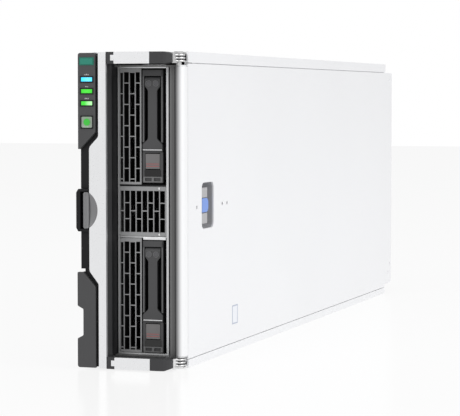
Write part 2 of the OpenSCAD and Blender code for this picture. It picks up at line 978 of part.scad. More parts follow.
// Circuit board at the back of a bay, with its drive connector and an air gap
module backplane(bay) {
  color([0.05, 0.32, 0.16])
    in_frame()
      difference() {
        box([cage_x[0], cage_y[1], bay[0] - 0.4], [cage_x[1], cage_y[1] + board_t, bay[1] + 0.4]);
        box([cage_x[0] + 3, cage_y[1] - 1, bay[0] + 6], [split_x - 2, cage_y[1] + 4, bay[1] - 6]);
      }
  color([0.1, 0.1, 0.1])
    in_frame()
      box([42, carrier_y + carrier_l + 1.6, bay[0] + 22], [48.6, cage_y[1], bay[0] + 54]);
}

module upper_backplane() {
  backplane(upper_bay);
}

module lower_backplane() {
  backplane(lower_bay);
}

// ---- system board ----

standoffs = [for (y = [158, 307, 454, 566], z = [13, 146, 202]) [y, z]];

module system_board() {
  color([0.04, 0.3, 0.16])
    in_frame()
      difference() {
        box([board_x, board_y[0], board_z[0]], [board_top, board_y[1], board_z[1]]);
        for (p = standoffs)
          translate([board_x - 1, p[0], p[1]])
            rotate([0, 90, 0])
              cylinder(r = 1.7, h = 4);
        box([board_x - 1, board_y[0] - 1, 96], [board_top + 1, board_y[0] + 12, 120]);
      }
}

module board_standoffs() {
  color([0.7, 0.6, 0.35])
    in_frame()
      for (p = standoffs)
        translate([sheet, p[0], p[1]])
          rotate([0, 90, 0])
            cylinder(r = 3, h = board_x - sheet, $fn = 6);
}

module board_screws() {
  color([0.75, 0.75, 0.76])
    in_frame()
      for (p = standoffs)
        translate([board_x, p[0], p[1]])
          rotate([0, 90, 0]) {
            cylinder(r = 1.5, h = board_t + 0.1, $fn = 24);
            translate([0, 0, board_t])
              cylinder(r = 2.9, h = 1.6, $fn = 24);
          }
}

module cpu_sockets() {
  color([0.85, 0.83, 0.78])
    in_frame()
      for (y = socket_centres)
        difference() {
          box([board_top, y - 40, mid_z - 33], [board_top + 4, y + 40, mid_z + 33]);
          box([board_top + 2.2, y - 38, mid_z - 28.6], [board_top + 5, y + 38, mid_z + 28.6]);
        }
}

// Processor: a substrate with a stepped metal lid
module processors() {
  color([0.7, 0.7, 0.68])
    in_frame()
      for (y = socket_centres) {
        box([board_top + 2.2, y - 37.6, mid_z - 28.2], [board_top + 3.8, y + 37.6, mid_z + 28.2]);
        box([board_top + 3.8, y - 33, mid_z - 24], [board_top + 6.4, y + 33, mid_z + 24]);
      }
}

// Finned heat sink with its base on the processor's lid
module heat_sink(y) {
  base = board_top + 6.4;
  fin_pitch = 70 / (fin_count - 1);
  color([0.78, 0.79, 0.8])
    in_frame() {
      box([base, y - 45, mid_z - 35.5], [base + 4.5, y + 45, mid_z + 35.5]);
      for (i = [0 : fin_count - 1])
        box([base + 4.5, y - 43, mid_z - 35.4 + i * fin_pitch], [58, y + 43, mid_z - 34.8 + i * fin_pitch]);
      for (dy = [-42.6, 42.6], dz = [-31, 31])
        translate([board_top, y + dy, mid_z + dz])
          rotate([0, 90, 0])
            cylinder(r = 1.6, h = base - board_top + 0.5);
    }
}

module front_heat_sink() {
  heat_sink(socket_centres[0]);
}

module rear_heat_sink() {
  heat_sink(socket_centres[1]);
}

// Runs its child at every memory slot
module at_slots() {
  for (y = socket_centres, z = bank_z, i = [0 : slots_per_bank - 1])
    translate([board_top, y - dimm_len / 2, z + i * dimm_pitch])
      children();
}

module memory_slots() {
  color([0.12, 0.12, 0.13])
    in_frame()
      at_slots()
        difference() {
          box([0, -3.6, -3.2], [8, dimm_len + 3.6, 3.2]);
          box([2, -0.3, -0.8], [9, dimm_len + 0.3, 0.8]);
        }
}

module memory_modules() {
  color([0.05, 0.35, 0.2])
    in_frame()
      at_slots() {
        difference() {
          box([2.2, 0, -0.6], [2.2 + dimm_h, dimm_len, 0.6]);
          box([2, 71, -1], [5.4, 73.4, 1]);
        }
        for (k = [0 : 8])
          box([14, 6 + k * 13.7, 0.6 - eps], [26, 16 + k * 13.7, 1.7]);
      }
}

// Covers that keep the cooling air between the memory modules
module memory_baffles() {
  color([0.16, 0.16, 0.17])
    in_frame()
      for (y = socket_centres, z = bank_z)
        translate([board_top, y - dimm_len / 2, z - 5])
          difference() {
            box([9, 0.5, -1.6], [dimm_h + 6, dimm_len - 0.5, slots_per_bank * dimm_pitch + 2.8]);
            box([0, -1, -0.4], [dimm_h + 4.6, dimm_len + 1, slots_per_bank * dimm_pitch + 1.6]);
          }
}

// ---- mezzanine cards and rear connectors ----

module mezzanine_card(z) {
  color([0.05, 0.33, 0.17])
    in_frame()
      difference() {
        box([mezz_x, mezz_y[0], z - 30], [mezz_x + board_t, mezz_y[1], z + 30]);
        for (dy = [5, mezz_y[1] - mezz_y[0] - 5], dz = [-25, 25])
          translate([mezz_x - 1, mezz_y[0] + dy, z + dz])
            rotate([0, 90, 0])
              cylinder(r = 1.8, h = 4);
      }
  color([0.75, 0.76, 0.77])
    in_frame() {
      box([mezz_x + board_t, mezz_y[0] + 36, z - 17], [mezz_x + board_t + 3, mezz_y[0] + 72, z + 17]);
      for (i = [0 : 8])
        box([mezz_x + board_t + 2.9, mezz_y[0] + 36, z - 17 + i * 4.15],
          [mezz_x + board_t + 13, mezz_y[0] + 72, z - 16.2 + i * 4.15]);
    }
}

module mezzanine_card_1() {
  mezzanine_card(mezz_z[0]);
}

module mezzanine_card_2() {
  mezzanine_card(mezz_z[1]);
}

module mezzanine_card_3() {
  mezzanine_card(mezz_z[2]);
}

module mezzanine_connectors() {
  color([0.14, 0.14, 0.15])
    in_frame()
      for (z = mezz_z)
        difference() {
          box([board_top, 468, z - 22], [mezz_x, 480, z + 22]);
          box([board_top + 4, 467, z - 19], [mezz_x - 4, 471, z + 19]);
        }
}

// Signal connectors that mate with the enclosure's midplane: rows of blade slots
module midplane_connectors() {
  color([0.1, 0.1, 0.11])
    in_frame()
      for (z = mezz_z)
        difference() {
          along_y(mezz_y[1] + 0.4, body_d - 4)
            round_rect([16, z - 22], [44, z + 22], 1.2);
          for (row = [0 : 3], col = [0 : 7])
            box([18.4 + row * 6.4, body_d - 12, z - 20 + col * 5.2],
              [22.4 + row * 6.4, body_d, z - 17.2 + col * 5.2]);
        }
}

module power_connector() {
  color([0.12, 0.12, 0.13])
    in_frame()
      difference() {
        along_y(rear_y - 12, body_d - 4)
          round_rect([46.4, 20], [61.6, 60], 1);
        for (i = [0 : 3])
          box([49.4, body_d - 14, 24 + i * 9], [58.6, body_d, 29 + i * 9]);
      }
}

// Sockets that run onto the guide pins of the enclosure
module guide_sockets() {
  color([0.66, 0.67, 0.68])
    in_frame()
      for (z = socket_z)
        translate([socket_x, rear_y + sheet, z])
          rotate([-90, 0, 0])
            difference() {
              union() {
                cylinder(r = 8.6, h = 3);
                cylinder(r = 7, h = socket_len);
                translate([0, 0, -6])
                  cylinder(r = 7, h = 7);
              }
              translate([0, 0, -7])
                cylinder(r = socket_r, h = socket_len + 8);
              translate([0, 0, socket_len - 2])
                cylinder(r1 = socket_r, r2 = socket_r + 2.2, h = 2.2, $fn = 48);
            }
}

module storage_controller() {
  color([0.05, 0.3, 0.2])
    in_frame() {
      box([14, 488, 150], [15.6, 548, 200]);
      box([board_top, 492, 154], [14, 500, 196]);
    }
  color([0.2, 0.2, 0.21])
    in_frame()
      box([15.6, 508, 163], [18.4, 532, 187]);
}

// Battery block clipped beside the cage
module energy_pack() {
  color([0.13, 0.13, 0.14])
    in_frame()
      difference() {
        box([board_top, 151.5, 24], [24, 164.5, 92]);
        for (z = [34, 57, 80])
          box([22.8, 151, z], [25, 167, z + 1.6]);
      }
}

// Coin cell lying in its holder on the board
module coin_cell() {
  color([0.72, 0.72, 0.7])
    in_frame()
      translate([board_top, 530, 92]) {
        rotate([0, 90, 0])
          cylinder(r = 10, h = 3.2);
        rotate([0, 90, 0])
          difference() {
            cylinder(r = 12, h = 2.2);
            translate([0, 0, -1])
              cylinder(r = 9.9, h = 5);
          }
      }
}

chassis_pan();
front_frame();
rear_panel();
drive_cage();
upper_grille();
middle_grille();
lower_grille();
bezel_column();
status_panel();
blank_badge();
identify_lens();
health_lens();
network_lens();
lamp_board();
latch_housing();
handle_pins();
upper_backplane();
lower_backplane();
system_board();
board_standoffs();
board_screws();
cpu_sockets();
processors();
front_heat_sink();
rear_heat_sink();
memory_slots();
memory_modules();
memory_baffles();
mezzanine_card_1();
mezzanine_card_2();
mezzanine_card_3();
mezzanine_connectors();
midplane_connectors();
power_connector();
guide_sockets();
storage_controller();
energy_pack();
coin_cell();
handle_bar();
handle_core();
thumb_scoop();
upper_arm();
lower_arm();
arm_plates();
handle_cams();
release_slider();
power_button();
pull_tab();
access_panel();
panel_latch_cup();
panel_latch_key();
upper_carrier();
upper_drive();
upper_lever();
upper_lever_button();
lower_carrier();
lower_drive();
lower_lever();
lower_lever_button();
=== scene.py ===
# %% [markdown]
# # A blade server, dressed for its portrait
# The imported CAD model brings every piece at its true size and place. This script keeps those
# pieces, gives each of them a finish, and adds the small things that sheet metal and moulded
# plastic carry: rivets, lips, lamp surrounds, contact blades. Lengths are in metres, except
# where a cell says bench millimetres.
#
# Import paths come first, then the frame.

import math

import bmesh
import bpy
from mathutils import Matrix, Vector


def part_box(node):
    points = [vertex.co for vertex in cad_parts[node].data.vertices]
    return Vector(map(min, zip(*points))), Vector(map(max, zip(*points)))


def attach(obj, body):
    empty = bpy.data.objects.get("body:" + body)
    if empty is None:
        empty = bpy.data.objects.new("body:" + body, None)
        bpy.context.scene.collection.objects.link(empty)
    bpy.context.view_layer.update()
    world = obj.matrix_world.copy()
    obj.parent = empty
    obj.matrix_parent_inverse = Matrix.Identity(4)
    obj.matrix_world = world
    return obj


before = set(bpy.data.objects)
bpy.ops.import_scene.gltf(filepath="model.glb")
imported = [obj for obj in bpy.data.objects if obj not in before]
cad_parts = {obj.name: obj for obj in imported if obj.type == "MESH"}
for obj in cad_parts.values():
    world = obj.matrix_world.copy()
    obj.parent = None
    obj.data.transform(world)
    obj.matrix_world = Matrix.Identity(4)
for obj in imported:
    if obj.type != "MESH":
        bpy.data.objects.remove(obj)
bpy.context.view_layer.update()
MM = 0.001

# %% [markdown]
# ## Camera
# The module is seen from a little to its right and slightly above, with a long lens, as on a
# product page. The long lens keeps the upright edges nearly parallel. The camera is turned, not
# shifted, so the same camera also serves every other view.

# %% Camera
CAMERA_PLACE = Vector((0.4927, -1.5694, 0.1845))
CAMERA_YAW = math.radians(18.32)
CAMERA_PITCH = math.radians(-3.13)
CAMERA_LENS = 157.49


def add_camera():
    data = bpy.data.cameras.new("product_camera")
    data.lens = CAMERA_LENS
    data.sensor_width = 36
    data.clip_end = 50
    camera = bpy.data.objects.new("product_camera", data)
    bpy.context.scene.collection.objects.link(camera)
    camera.location = CAMERA_PLACE
    camera.rotation_euler = (math.radians(90) + CAMERA_PITCH, 0, CAMERA_YAW)
    bpy.context.scene.camera = camera
    return camera


camera = add_camera()
print("camera", camera.name, "lens", round(camera.data.lens, 1))

# %% [markdown]
# ## Node arithmetic
# Nodes are easier to read as sums than as a web of links. `Signal` wraps one socket and lets
# Python's own operators add the Math nodes. `Graph` owns a node tree, and its `node` method
# makes any other node from a type, its settings and the values or links of its inputs. Shaders
# and geometry both use it.


# %% Node arithmetic
class Signal:
    """One value in a node tree. Arithmetic on it adds Math nodes to that tree."""

    def __init__(self, graph, socket):
        self.graph = graph
        self.socket = socket

    def math(self, operation, *values):
        inputs = dict(enumerate(values))
        return self.graph.node("ShaderNodeMath", {"operation": operation}, inputs)

    def __add__(self, other):
        return self.math("ADD", self, other)

    def __radd__(self, other):
        return self.math("ADD", other, self)

    def __sub__(self, other):
        return self.math("SUBTRACT", self, other)

    def __rsub__(self, other):
        return self.math("SUBTRACT", other, self)

    def __mul__(self, other):
        return self.math("MULTIPLY", self, other)

    def __rmul__(self, other):
        return self.math("MULTIPLY", other, self)

    def __truediv__(self, other):
        return self.math("DIVIDE", self, other)

    def __abs__(self):
        return self.math("ABSOLUTE", self)

    def root(self):
        return self.math("SQRT", self)

    def fade(self, start, end):
        """0 at start and 1 at end, with a smooth step between them."""
        settings = {"interpolation_type": "SMOOTHSTEP"}
        inputs = {"Value": self, "From Min": start, "From Max": end}
        return self.graph.node("ShaderNodeMapRange", settings, inputs)


class Graph:
    """A node tree, and the one method that adds nodes to it."""

    def __init__(self, tree):
        self.tree = tree

    def node(self, kind, settings=None, inputs=None, out=0):
        made = self.tree.nodes.new(kind)
        for name, value in (settings or {}).items():
            setattr(made, name, value)
        for name, value in (inputs or {}).items():
            self.feed(made.inputs[name], value)
        return Signal(self, made.outputs[out])

    def feed(self, socket, value):
        if isinstance(value, Signal):
            self.tree.links.new(value.socket, socket)
        else:
            socket.default_value = value


print("node arithmetic ready")

# %% [markdown]
# ## Finishes
# A finish is one procedural material round one Principled shader. Its patterns read the
# object's own coordinates, so they stay on the piece when it moves. Constants are set straight
# on the shader.


# %% Finishes
class Finish(Graph):
    """A procedural material built round one Principled shader."""

    def __init__(self, name, colour, rough, metal=0.0, **sockets):
        self.material = bpy.data.materials.new(name)
        self.material.use_nodes = True
        super().__init__(self.material.node_tree)
        self.shader = self.tree.nodes["Principled BSDF"]
        self.place = self.node("ShaderNodeTexCoord", out="Object")
        self.set("Base Color", (*colour, 1.0))
        self.set("Roughness", rough)
        self.set("Metallic", metal)
        for socket, value in sockets.items():
            self.set(socket.replace("_", " "), value)

    def set(self, socket, value):
        self.feed(self.shader.inputs[socket], value)
        return self

    def axis(self, letter):
        """One coordinate of the surface, in metres, in the part's own frame."""
        return self.node("ShaderNodeSeparateXYZ", None, {0: self.place}, out=letter)

    def stretched(self, scale):
        """The coordinates scaled per axis, for streaks and grain with a direction."""
        return self.node("ShaderNodeMapping", None, {"Vector": self.place, "Scale": scale})

    def noise(self, size, detail=2.0, vector=None):
        """Noise from 0 to 1 whose largest features measure size."""
        inputs = {"Vector": vector or self.place, "Scale": 1.0 / size, "Detail": detail}
        return self.node("ShaderNodeTexNoise", None, inputs)

    def mix(self, factor, first, second):
        """A colour between two others; a number stands for a grey."""
        inputs = {0: factor, 6: colour_of(first), 7: colour_of(second)}
        return self.node("ShaderNodeMix", {"data_type": "RGBA"}, inputs, out=2)

    def tint(self, colour, amount, factor):
        """The same colour, darker and lighter by amount as factor goes from 0 to 1."""
        dark = [c * (1 - amount) for c in colour]
        light = [min(1.0, c * (1 + amount)) for c in colour]
        return self.mix(factor, dark, light)

    def bump(self, height, depth, strength=1.0):
        """Feeds the shader's normal from a height that goes from 0 to 1 over a depth in metres."""
        inputs = {"Strength": strength, "Distance": depth, "Height": height}
        return self.set("Normal", self.node("ShaderNodeBump", None, inputs))


def colour_of(value):
    if isinstance(value, Signal):
        return value
    if isinstance(value, (int, float)):
        return (value, value, value, 1.0)
    return (*value, 1.0) if len(value) == 3 else tuple(value)


print("finishes ready")

# %% [markdown]
# ## Light, floor and background
# The object stands on a pale, slightly polished floor in an even white room. The room is seen
# as pure white by the camera and through clear surfaces, but it lights and is mirrored a little
# less, so that a large lamp from the right and a smaller one from the front can give the sheet
# metal some shape. The floor is part plain white, part polished, so it keeps both a soft shadow
# and a faint mirror image.

# %% Light, floor and background
ROOM_LIGHT = 0.62
FLOOR_REACH = 6.0
FLOOR_DROP = 0.4 * MM
FLOOR_WHITENESS = 0.84


def add_room():
    world = bpy.data.worlds.new("white_room")
    world.use_nodes = True
    bpy.context.scene.world = world
    tree = world.node_tree
    seen = tree.nodes.new("ShaderNodeLightPath")
    background = tree.nodes["Background"]
    background.inputs["Color"].default_value = (1, 1, 1, 1)
    direct = tree.nodes.new("ShaderNodeMath")
    direct.operation = "MAXIMUM"
    tree.links.new(seen.outputs["Is Camera Ray"], direct.inputs[0])
    tree.links.new(seen.outputs["Is Transmission Ray"], direct.inputs[1])
    strength = tree.nodes.new("ShaderNodeMapRange")
    strength.inputs["To Min"].default_value = ROOM_LIGHT
    strength.inputs["To Max"].default_value = 1.0
    tree.links.new(direct.outputs[0], strength.inputs["Value"])
    tree.links.new(strength.outputs[0], background.inputs["Strength"])
    return world


def add_lamp(name, place, aim, size, power):
    data = bpy.data.lights.new(name, "AREA")
    data.shape = "RECTANGLE"
    data.size, data.size_y = size
    data.energy = power
    lamp = bpy.data.objects.new(name, data)
    bpy.context.scene.collection.objects.link(lamp)
    lamp.location = place
    lamp.rotation_euler = (Vector(aim) - Vector(place)).to_track_quat("-Z", "Y").to_euler()
    return lamp


def add_floor():
    mesh = bpy.data.meshes.new("floor")
    corners = [(-1, -1), (1, -1), (1, 1), (-1, 1)]
    points = [(x * FLOOR_REACH, y * FLOOR_REACH, -FLOOR_DROP) for x, y in corners]
    mesh.from_pydata(points, [], [(0, 1, 2, 3)])
    floor = bpy.data.objects.new("floor", mesh)
    bpy.context.scene.collection.objects.link(floor)
    polish = Finish("polished_floor", (0.9, 0.9, 0.9), 0.16, 0.3)
    bright = polish.node("ShaderNodeEmission", None, {"Color": (1, 1, 1, 1), "Strength": 1.0})
    mirror = Signal(polish, polish.shader.outputs[0])
    mixed = polish.node("ShaderNodeMixShader", None, {0: FLOOR_WHITENESS, 1: mirror, 2: bright})
    polish.tree.links.new(mixed.socket, polish.tree.nodes["Material Output"].inputs["Surface"])
    mesh.materials.append(polish.material)
    return floor


bpy.context.scene.view_settings.view_transform = "Standard"
add_room()
add_floor()
lamps = [
    add_lamp("side_lamp", (1.9, -0.5, 1.3), (0.03, 0.0, 0.1), (1.8, 1.6), 26),
    add_lamp("front_lamp", (-0.6, -2.2, 1.2), (0, -0.3, 0.1), (1.4, 1.2), 14),
    add_lamp("top_lamp", (0, 0.3, 2.2), (0, 0, 0), (2.0, 2.0), 18),
]
print("room, floor and", len(lamps), "lamps")

# %% [markdown]
# ## Metal finishes
# Plated sheet is bright, with a very fine rolling grain and slow waves in its brightness where
# the sheet isn't quite flat. The grain runs along the sheet, so the noise behind it is
# stretched that way. Turned and cast metals have a rounder grain. Every finish keeps its
# constant values on the shader and varies only colour, roughness and normal.

# %% Metal finishes
look = {}
STREAK_SIZE, STREAK_STRETCH = 1.1 * MM, 0.045
PATCH_SIZE = 160 * MM


def sheet_metal(name, colour, rough, metal, grain=0.0000035):
    """Rolled and plated sheet: streaks along Y, and slow patches of brightness."""
    made = Finish(name, colour, rough, metal)
    streaks = made.noise(STREAK_SIZE, 3, made.stretched((1.0, STREAK_STRETCH, 1.0)))
    patches = made.noise(PATCH_SIZE, 2)
    made.set("Base Color", made.tint(colour, 0.035, 0.35 * streaks + 0.65 * patches))
    made.set("Roughness", rough + 0.09 * (streaks - 0.5) + 0.06 * (patches - 0.5))
    made.bump(streaks, grain)
    look[name] = made
    return made


def solid_metal(name, colour, rough, metal=1.0, size=0.0009, grain=0.000012):
    """Turned, cast or plated metal with an even grain."""
    made = Finish(name, colour, rough, metal)
    specks = made.noise(size, 4)
    made.set("Base Color", made.tint(colour, 0.05, specks))
    made.set("Roughness", rough + 0.14 * (specks - 0.5))
    made.bump(specks, grain)
    look[name] = made
    return made


sheet_metal("plated_panel", (0.84, 0.845, 0.86), 0.42, 0.35)
sheet_metal("plated_frame", (0.66, 0.665, 0.675), 0.36, 0.7)
sheet_metal("plated_cage", (0.6, 0.605, 0.61), 0.4, 0.6)
# The latch cup's darker grey is painted shade, for the shade that falls in its recess.
sheet_metal("cup_steel", (0.42, 0.42, 0.43), 0.45, 0.3)
solid_metal("satin_bar", (0.8, 0.805, 0.815), 0.3, 0.75, 0.0006, 0.000006)
solid_metal("cast_drive", (0.6, 0.61, 0.62), 0.45)
solid_metal("bright_steel", (0.8, 0.8, 0.8), 0.16)
solid_metal("nickel_lid", (0.62, 0.62, 0.6), 0.3)
solid_metal("turned_brass", (0.68, 0.53, 0.25), 0.3)
sheet_metal("extruded_fins", (0.72, 0.73, 0.74), 0.34, 0.9)
print(len(look), "metal finishes")

# %% [markdown]
# ## Plastic finishes
# The dark parts are moulded with a fine spark-eroded grain, which shows as a soft sheen rather
# than as dots. A dark plastic reflects little straight on, so its specular level is kept low,
# and the sheen comes from roughness. Lamp lenses are clear tinted plastic with a lit spot
# behind them.

# %% Plastic finishes
FLOW_SIZE = 30 * MM


def moulded(name, colour, rough=0.5, level=0.3, grain=0.00002, size=0.00045):
    """Moulded plastic: eroded grain, and a faint flow of tone across the part."""
    made = Finish(name, colour, rough, 0.0, Specular_IOR_Level=level)
    pits = made.noise(size, 2)
    flow = made.noise(FLOW_SIZE, 2)
    made.set("Base Color", made.tint(colour, 0.12, 0.4 * pits + 0.6 * flow))
    made.set("Roughness", rough + 0.12 * (pits - 0.5))
    made.bump(pits, grain, 0.6)
    look[name] = made
    return made


moulded("black_plastic", (0.009, 0.009, 0.01), 0.5, 0.18)
moulded("graphite_plastic", (0.062, 0.062, 0.064), 0.5, 0.25)
moulded("arm_plastic", (0.04, 0.04, 0.042), 0.5, 0.25)
moulded("scoop_plastic", (0.2, 0.2, 0.205), 0.45, 0.35)
moulded("carrier_plastic", (0.068, 0.068, 0.07), 0.5, 0.25)
moulded("button_plastic", (0.16, 0.155, 0.155), 0.48, 0.35)
moulded("teal_plastic", (0.004, 0.13, 0.09), 0.35, 0.4)
moulded("blue_plastic", (0.16, 0.28, 0.66), 0.42, 0.4)
moulded("cream_plastic", (0.6, 0.56, 0.48), 0.5, 0.4)
moulded("connector_plastic", (0.012, 0.012, 0.013), 0.42, 0.35)
moulded("grille_paint", (0.3, 0.302, 0.306), 0.4, 0.4)
moulded("board_resist", (0.012, 0.085, 0.04), 0.35, 0.5, 0.000012)
print(len(look), "finishes so far")

# %% [markdown]
# ## Finishes with painted shade inwards
# Behind the grilles the server is a deep, closed box, and no light comes back out of it. A
# render with a few bounces in a white room shows more than the eye sees, so shade is painted
# into the cage, the grilles and the sides of the drive carriers: they go from their own colour
# at the face to a painted near-black shade a few millimetres further in. The depth is measured
# from the piece's own front, in the part's frame, so it holds at every angle and pose.

# %% Finishes with painted shade inwards
# The painted shade: near black, matt and not metallic.
PAINTED_SHADE = (("Base Color", (0.003, 0.003, 0.0032)), ("Metallic", 0.0), ("Roughness", 0.9))


def paint_shade_inwards(name, start, depth):
    """Fades a finish to a painted near-black shade behind the plane y = start."""
    made = look[name]
    inside = (made.axis("Y") - start).fade(0.0, depth)
    for socket, dark in PAINTED_SHADE:
        target = made.shader.inputs[socket]
        if target.is_linked:
            shown = Signal(made, target.links[0].from_socket)
        else:
            shown = target.default_value
        if socket == "Base Color":
            made.set(socket, made.mix(inside, shown, dark))
        else:
            made.set(socket, shown * (1.0 - inside) + dark * inside)
    return made


cage_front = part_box("drive_cage")[0][1]
grille_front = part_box("upper_grille")[0][1]
carrier_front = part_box("upper_carrier")[0][1]
# Painted shade: the cage, the grilles, and the sides of the drive carriers and their levers go near
# black inwards.
paint_shade_inwards("plated_cage", cage_front + 1.5 * MM, 4 * MM)
paint_shade_inwards("grille_paint", grille_front + 0.15 * MM, 0.7 * MM)
paint_shade_inwards("carrier_plastic", carrier_front + 1.2 * MM, 1.2 * MM)
print("cage front", round(cage_front, 4), "grille front", round(grille_front, 4))

# %% [markdown]
# ## The column at the corner
# The strip between the drives and the side panel is one bent sheet. Its flat front is dark, and
# round the corner it brightens steadily, with a thin black line where the flat ends. The dark
# front and the brightening round the corner are a painted reflection. The finish is a ramp
# across the width of the sheet, read from the object's own X coordinate.

# %% The column at the corner
COLUMN_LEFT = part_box("drive_cage")[1][0] + 3.2 * MM
COLUMN_FLAT = 4.0 * MM


def column_steel():
    made = Finish("column_steel", (0.1, 0.1, 0.105), 0.34, 0.25)
    across = made.axis("X")
    flat = COLUMN_LEFT + COLUMN_FLAT
    streaks = made.noise(STREAK_SIZE, 3, made.stretched((1.0, 1.0, STREAK_STRETCH)))
    # Painted reflection: a dark band on the flat front, then a ramp that brightens round the
    # corner.
    band = made.mix((across - COLUMN_LEFT).fade(0.0, 2.2 * MM), 0.13, 0.075)
    painted_reflection_ramp = (across - flat).fade(0.0, 4.4 * MM)
    bright = made.mix(painted_reflection_ramp, (0.11, 0.11, 0.112), (0.86, 0.865, 0.875))
    line = (abs(across - flat + 0.1 * MM)).fade(0.0, 0.45 * MM)
    colour = made.mix((across - flat).fade(-0.1 * MM, 0.1 * MM), band, bright)
    colour = made.mix(line, 0.004, colour)
    made.set("Base Color", made.mix(0.06 * streaks, colour, 0.3))
    made.set("Roughness", 0.34 + 0.1 * (streaks - 0.5))
    made.bump(streaks, 0.000003)
    look["column_steel"] = made
    return made


column_steel()
print("column from", round(COLUMN_LEFT, 4))

# %% [markdown]
# ## Lamps and clear lenses
# Each status lamp is a clear tinted window with a light behind one end of it, so the glow has a
# hot spot and fades along the window. The spot is placed from the node's own box.

# %% Lamps and clear lenses
GLOW_REACH, GLOW_UPRIGHT = 0.55, 0.2


def lit_lens(name, node, colour, hot, spot, strength):
    """A tinted window that glows, brightest at spot, from 0 at its left end to 1 at its right."""
    low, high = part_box(node)
    centre = low[0] + spot * (high[0] - low[0])
    middle = (low[2] + high[2]) / 2
    made = Finish(name, colour, 0.25, 0.0)
    across = (made.axis("X") - centre) / (high[0] - low[0])
    upward = (made.axis("Z") - middle) / (high[2] - low[2])
    distance = (across * across + upward * upward * GLOW_UPRIGHT).root()
    glow = 1.0 - distance.fade(0.0, GLOW_REACH)
    ripple = made.noise(0.0009, 2)
    made.set("Base Color", made.tint(colour, 0.1, ripple))
    made.set("Emission Color", made.mix(glow, colour, hot))
    made.set("Emission Strength", strength)
    made.bump(ripple, 0.00001)
    look[name] = made
    return made


lit_lens("cyan_lens", "identify_lens", (0.04, 0.62, 0.95), (0.3, 0.8, 1.0), 0.6, 0.55)
lit_lens("green_lens", "health_lens", (0.03, 0.5, 0.02), (0.1, 0.75, 0.06), 0.5, 0.5)
lit_lens("signal_lens", "network_lens", (0.04, 0.52, 0.03), (0.85, 1.0, 0.8), 0.8, 0.6)
lit_lens("glowing_button", "power_button", (0.2, 0.23, 0.2), (0.12, 0.5, 0.1), 0.5, 0.3)
print("lamps:", sorted(name for name in look if "lens" in name))

# %% [markdown]
# ## Finishes on the CAD pieces
# The CAD pieces keep their own shapes. Each one's material slots are given the finish of the
# real piece, so that nothing is left in plain colours.

# %% Finishes on the CAD pieces
finish_of = {
    "plated_panel": ["chassis_pan", "access_panel"],
    "cup_steel": ["panel_latch_cup"],
    "column_steel": ["front_frame"],
    "plated_frame": ["rear_panel"],
    "plated_cage": ["drive_cage"],
    "grille_paint": ["upper_grille", "middle_grille", "lower_grille"],
    "black_plastic": ["bezel_column", "latch_housing"],
    "graphite_plastic": ["status_panel", "pull_tab"],
    "arm_plastic": ["handle_core", "upper_arm", "lower_arm"],
    "satin_bar": ["handle_bar", "arm_plates"],
    "scoop_plastic": ["thumb_scoop", "release_slider"],
    "teal_plastic": ["blank_badge"],
    "cyan_lens": ["identify_lens"],
    "green_lens": ["health_lens"],
    "signal_lens": ["network_lens"],
    "glowing_button": ["power_button"],
    "blue_plastic": ["panel_latch_key"],
    "carrier_plastic": ["upper_carrier", "lower_carrier", "upper_lever", "lower_lever"],
    "button_plastic": ["upper_lever_button", "lower_lever_button"],
    "cast_drive": ["upper_drive", "lower_drive"],
    "board_resist": [
        "system_board", "lamp_board", "upper_backplane", "lower_backplane", "memory_modules",
        "mezzanine_card_1", "mezzanine_card_2", "mezzanine_card_3", "storage_controller",
    ],
    "connector_plastic": [
        "memory_slots", "memory_baffles", "mezzanine_connectors", "midplane_connectors",
        "power_connector", "energy_pack",
    ],
    "cream_plastic": ["cpu_sockets"],
    "extruded_fins": ["front_heat_sink", "rear_heat_sink"],
    "nickel_lid": ["processors", "coin_cell"],
    "bright_steel": ["board_screws", "handle_pins", "handle_cams", "guide_sockets"],
    "turned_brass": ["board_standoffs"],
}
for name, nodes in finish_of.items():
    for node in nodes:
        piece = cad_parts[node]
        if not piece.material_slots:
            piece.data.materials.append(look[name].material)
        for slot in piece.material_slots:
            slot.material = look[name].material
dressed = [node for nodes in finish_of.values() for node in nodes]
assert sorted(dressed) == sorted(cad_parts), set(dressed) ^ set(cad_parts)
print(len(dressed), "CAD pieces dressed")

# %% [markdown]
# ## Small solids
# Most small parts of a server are stamped or moulded: a flat outline with some thickness and a
# small radius along its edges. `solid` makes one from outlines and rounds its edges with a
# Bevel, because a sharp edge never catches the light. `ring_of` makes a closed frame. Places
# are given in bench millimetres: x from the left side, y back from the front, z up from the
# underside.

# %% Small solids
BENCH = Vector((-35.0, -303.5, 0.0))


def at(x, y, z):
    """A place in bench millimetres, in the part's frame."""
    return (Vector((x, y, z)) + BENCH) * MM


def settle(name, mesh, finish, body, soft=0.0):
    """Turns a mesh into a finished piece that rides on a body."""
    mesh.name = name
    piece = bpy.data.objects.new(name, mesh)
    bpy.context.scene.collection.objects.link(piece)
    mesh.materials.clear()
    mesh.materials.append(look[finish].material)
    if soft:
        bevel = piece.modifiers.new("soft_edges", "BEVEL")
        bevel.width = soft * MM
        bevel.segments = 2
        bevel.limit_method = "ANGLE"
    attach(piece, body)
    return piece


def add_prism(shape, outline, y0, y1):
    """Adds an outline of (x, z) points to a bmesh, solid from depth y0 back to y1."""
    front = [shape.verts.new(at(x, y0, z)) for x, z in outline]
    back = [shape.verts.new(at(x, y1, z)) for x, z in outline]
    shape.faces.new(front)
    shape.faces.new(list(reversed(back)))
    for i in range(len(outline)):
        j = (i + 1) % len(outline)
        shape.faces.new((front[j], front[i], back[i], back[j]))


def closed_mesh(name, shape):
    """A bmesh as a mesh, with its faces turned outwards."""
    bmesh.ops.recalc_face_normals(shape, faces=shape.faces)
    mesh = bpy.data.meshes.new(name)
    shape.to_mesh(mesh)
    shape.free()
    return mesh


def rectangle(x0, z0, x1, z1):
    return [(x0, z0), (x1, z0), (x1, z1), (x0, z1)]


